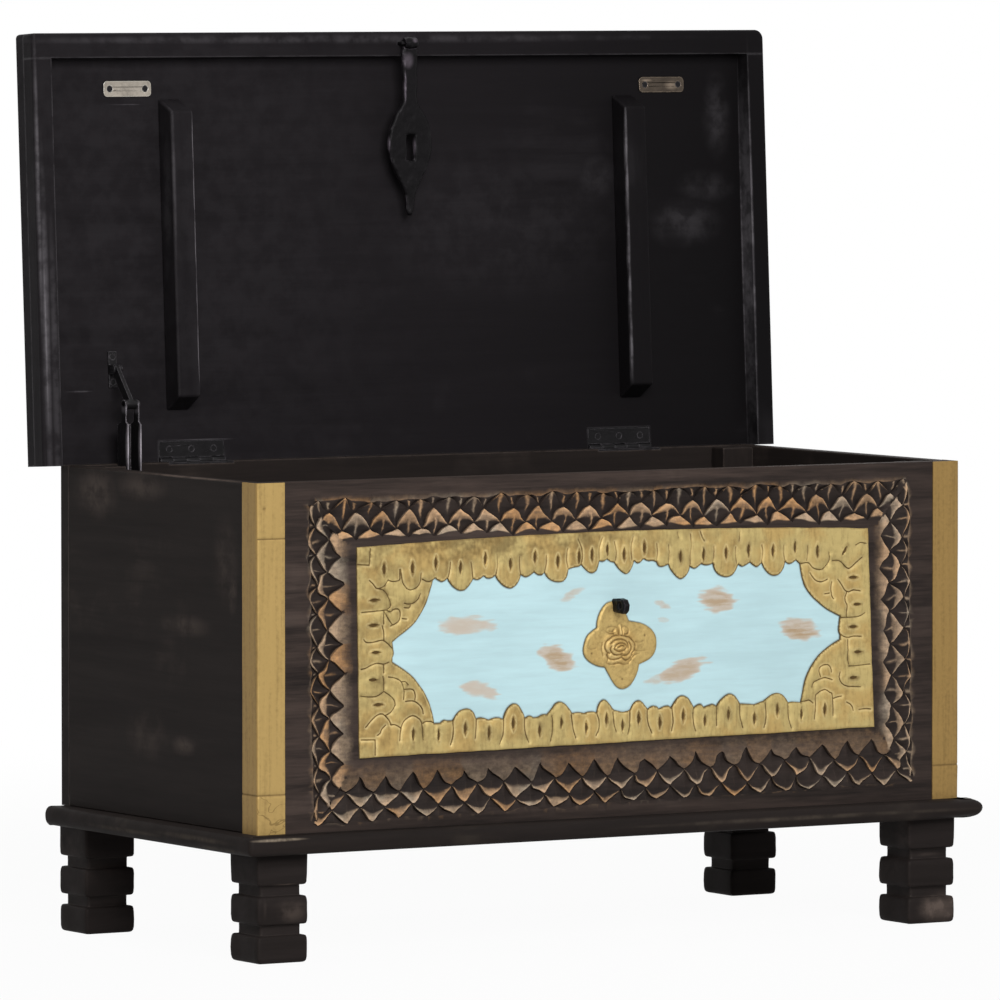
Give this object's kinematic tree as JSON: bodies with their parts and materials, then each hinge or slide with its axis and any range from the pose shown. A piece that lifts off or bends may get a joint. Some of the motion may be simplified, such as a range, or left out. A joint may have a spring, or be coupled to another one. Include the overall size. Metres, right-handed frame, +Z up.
{
  "type": "storage chest",
  "caption": "Low wooden storage chest on notched feet, with a hinged lid standing open on a folding stay, brass-framed painted front panel, iron hasp and staple.",
  "frame": {"origin": "on the floor, midway between the four feet and under the middle of the carcase", "axes": "+X to the right seen from the front, +Y to the back where the lid is hinged, +Z up"},
  "size_m": [0.813, 0.4386, 0.8426],
  "materials": {
    "dark_wood": "dark stained hardwood, waxed, lighter brown where worn",
    "brass_sheet": "embossed sheet with a soft satin sheen",
    "painted_wood": "pale blue paint rubbed through to brown wood in patches",
    "forged_iron": "blackened forged iron",
    "plated_steel": "bright plated steel, a little worn",
    "dark_steel": "dark lacquered steel with bright worn edges",
    "catch_plastic": "dark brown moulded plastic",
    "magnet": "bare pole plates and ferrite"
  },
  "bodies": {
    "chest": {"back_board": "dark_wood", "brass_frame": "brass_sheet", "catch_housing_left": "catch_plastic", "catch_housing_right": "catch_plastic", "catch_magnet_left": "magnet", "catch_magnet_right": "magnet", "catch_screws": "plated_steel", "corner_strip_left": "brass_sheet", "corner_strip_right": "brass_sheet", "foot_back_left": "dark_wood", "foot_back_right": "dark_wood", "foot_dowels": "dark_wood", "foot_front_left": "dark_wood", "foot_front_right": "dark_wood", "front_board": "dark_wood", "hasp_staple": "forged_iron", "hinge_pin_left": "dark_steel", "hinge_pin_right": "dark_steel", "hinge_wall_leaf_left": "dark_steel", "hinge_wall_leaf_right": "dark_steel", "hinge_wall_screws": "dark_steel", "left_board": "dark_wood", "medallion": "brass_sheet", "painted_panel": "painted_wood", "plinth_board": "dark_wood", "post_back_left": "dark_wood", "post_back_right": "dark_wood", "post_front_left": "dark_wood", "post_front_right": "dark_wood", "right_board": "dark_wood", "stay_plate_screws": "dark_steel", "stay_wall_pin": "dark_steel", "stay_wall_plate": "dark_steel"},
    "hasp": {"hasp": "forged_iron"},
    "lid": {"hasp_eye": "forged_iron", "hinge_lid_leaf_left": "dark_steel", "hinge_lid_leaf_right": "dark_steel", "hinge_lid_screws": "dark_steel", "lid_batten_left": "dark_wood", "lid_batten_right": "dark_wood", "lid_panel": "dark_wood", "lid_rim_front": "dark_wood", "lid_rim_left": "dark_wood", "lid_rim_right": "dark_wood", "stay_bracket_screws": "dark_steel", "stay_lid_bracket": "dark_steel", "stay_lid_pin": "dark_steel", "strike_plate_left": "plated_steel", "strike_plate_right": "plated_steel", "strike_screws": "dark_steel"},
    "stay_arm": {"stay_arm": "dark_steel", "stay_knee_pin": "dark_steel"},
    "stay_link": {"stay_link": "dark_steel"}
  },
  "joints": [
    {"name": "lid_hinge", "type": "hinge", "parent": "chest", "child": "lid", "pos_m": [0, 0.1897, 0.43825], "axis": [1, 0, 0], "range_deg": [0, 93.1]},
    {"name": "hasp_swing", "type": "hinge", "parent": "lid", "child": "hasp", "pos_m": [0, 0.18671, 0.83144], "axis": [1, 0, 0], "range_deg": [-108.2, 0]},
    {"name": "stay_arm_pivot", "type": "hinge", "parent": "chest", "child": "stay_arm", "pos_m": [-0.3215, 0.1617, 0.40625], "axis": [1, 0, 0], "range_deg": [0, 93.2]},
    {"name": "stay_link_pivot", "type": "hinge", "parent": "lid", "child": "stay_link", "pos_m": [-0.3215, 0.18672, 0.52654], "axis": [1, 0, 0], "range_deg": [-93.2, 0]}
  ],
  "couplings": [
    {"joint": "hasp_swing", "follows": "lid_hinge", "ratio": -1.1611},
    {"joint": "stay_arm_pivot", "follows": "lid_hinge", "ratio": 1},
    {"joint": "stay_link_pivot", "follows": "lid_hinge", "ratio": -1}
  ]
}
